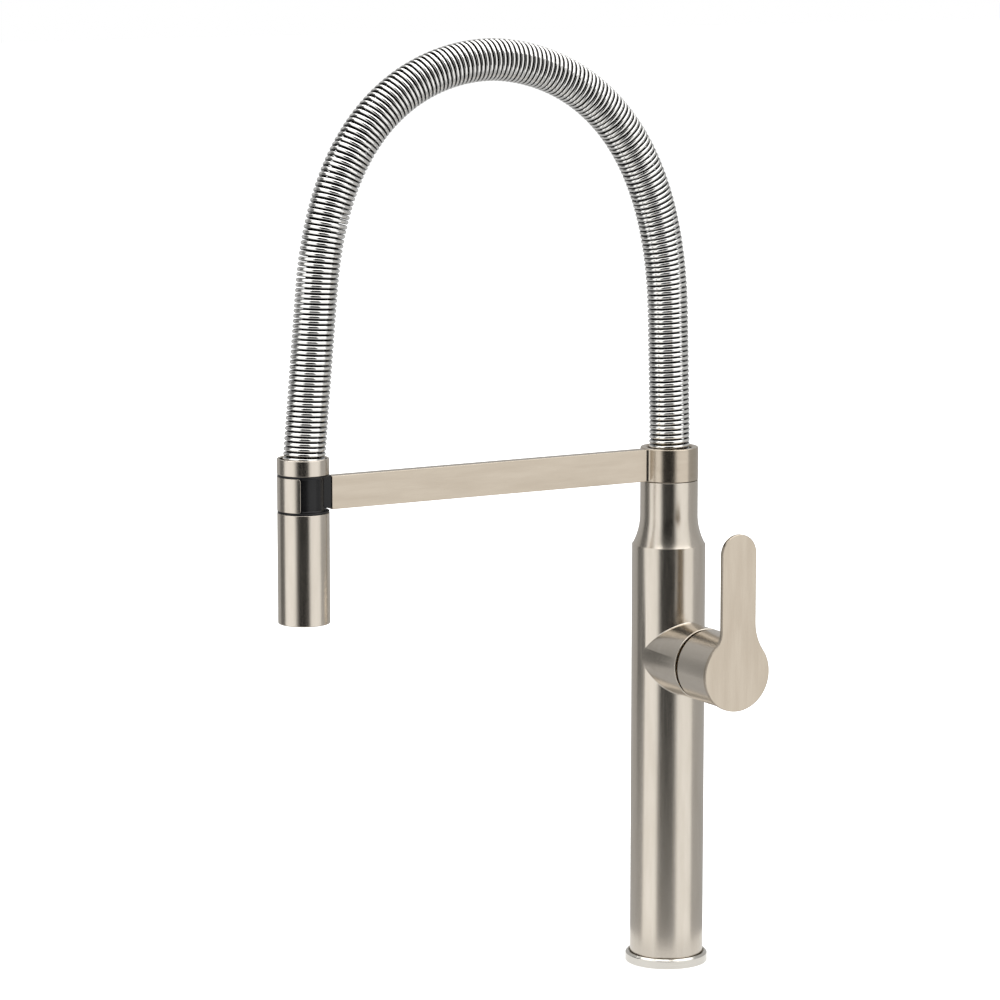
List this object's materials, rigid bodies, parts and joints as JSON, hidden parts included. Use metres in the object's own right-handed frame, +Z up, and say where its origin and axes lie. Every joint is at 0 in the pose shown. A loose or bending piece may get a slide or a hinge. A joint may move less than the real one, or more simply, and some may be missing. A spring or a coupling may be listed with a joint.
{
  "type": "pull-down kitchen faucet",
  "caption": "Tall kitchen faucet with a coil-spring spout, a flat swivelling arm that docks the pull-down spray head, and a side lever that tilts and turns.",
  "frame": {"origin": "centre of the base ring's underside, on the sink deck", "axes": "+Z up the column; -Y along the arm towards the spray head; +X out along the lever's axis"},
  "size_m": [0.1032, 0.2905, 0.5709],
  "materials": {
    "brushed_nickel": "fine brushed, satin",
    "polished_nickel": "lightly brushed, bright",
    "spring_steel": "polished round wire",
    "bright_steel": "machined",
    "black_plastic": "satin moulded",
    "pale_plastic": "moulded",
    "brass": "machined",
    "seal_rubber": "moulded",
    "hose_rubber": "smooth hose",
    "ceramic": "lapped"
  },
  "bodies": {
    "column": {"base_ring": "polished_nickel", "base_gasket": "seal_rubber", "base_insert": "brass", "body_column": "brushed_nickel", "valve_body": "brass", "hot_inlet_tube": "brass", "cold_inlet_tube": "brass", "outlet_tube": "brass", "swivel_stem": "brass", "lower_o_ring": "seal_rubber", "upper_o_ring": "seal_rubber", "retaining_ring": "bright_steel", "cartridge_seal": "seal_rubber", "cartridge_housing": "pale_plastic", "cartridge_nut": "brass", "fixed_disc": "ceramic"},
    "spout": {"swivel_bushing": "pale_plastic", "swivel_arm": "brushed_nickel", "spring_seat": "pale_plastic", "dock_block": "black_plastic", "dock_magnet": "bright_steel", "support_spring": "spring_steel", "inner_hose": "hose_rubber", "lower_hose_fitting": "brass"},
    "hose_end": {"head_collar": "brushed_nickel", "upper_hose_fitting": "brass"},
    "spray_head": {"head_core": "black_plastic", "strike_plate": "bright_steel", "check_valve": "pale_plastic", "button_spring": "bright_steel", "head_sleeve": "brushed_nickel", "water_guide": "pale_plastic", "aerator": "pale_plastic", "spray_face": "black_plastic", "face_seal": "seal_rubber"},
    "button": {"spray_button": "brushed_nickel", "diverter_piston": "pale_plastic"},
    "mixer_turn": {"lever_turret": "pale_plastic", "pivot_pin": "bright_steel"},
    "disc_slider": {"moving_disc": "ceramic", "disc_carrier": "pale_plastic"},
    "lever": {"lever_stem": "brass", "handle_hub": "brushed_nickel", "lever_plate": "brushed_nickel", "set_screw": "bright_steel"}
  },
  "joints": [
    {"name": "spout_swivel", "type": "hinge", "parent": "column", "child": "spout", "pos_m": [0, 0, 0.301], "axis": [0, 0, 1], "continuous": true},
    {"name": "head_swing", "type": "hinge", "parent": "spout", "child": "hose_end", "pos_m": [0, -0.215, 0.52], "axis": [-1, 0, 0], "range_deg": [0, 35], "stiffness_Nm_per_rad": 2, "deforming": ["support_spring", "inner_hose"]},
    {"name": "head_turn", "type": "hinge", "parent": "hose_end", "child": "spray_head", "pos_m": [0, -0.25, 0.323], "axis": [0, 0, 1], "range_deg": [-95, 95]},
    {"name": "button_press", "type": "slide", "parent": "spray_head", "child": "button", "axis": [0, 1, 0], "range_m": [0, 0.001], "stiffness_N_per_m": 600, "deforming": ["button_spring"]},
    {"name": "handle_mix", "type": "hinge", "parent": "column", "child": "mixer_turn", "pos_m": [0.054, 0, 0.1934], "axis": [1, 0, 0], "range_deg": [-45, 45]},
    {"name": "handle_lift", "type": "hinge", "parent": "mixer_turn", "child": "lever", "pos_m": [0.054, 0, 0.1934], "axis": [0, 1, 0], "range_deg": [0, 25]},
    {"name": "disc_slide", "type": "slide", "parent": "mixer_turn", "child": "disc_slider", "axis": [0, 0, 1], "range_m": [0, 0.0042]}
  ],
  "couplings": [
    {"joint": "disc_slide", "follows": "handle_lift", "m_per_rad": 0.0095}
  ]
}
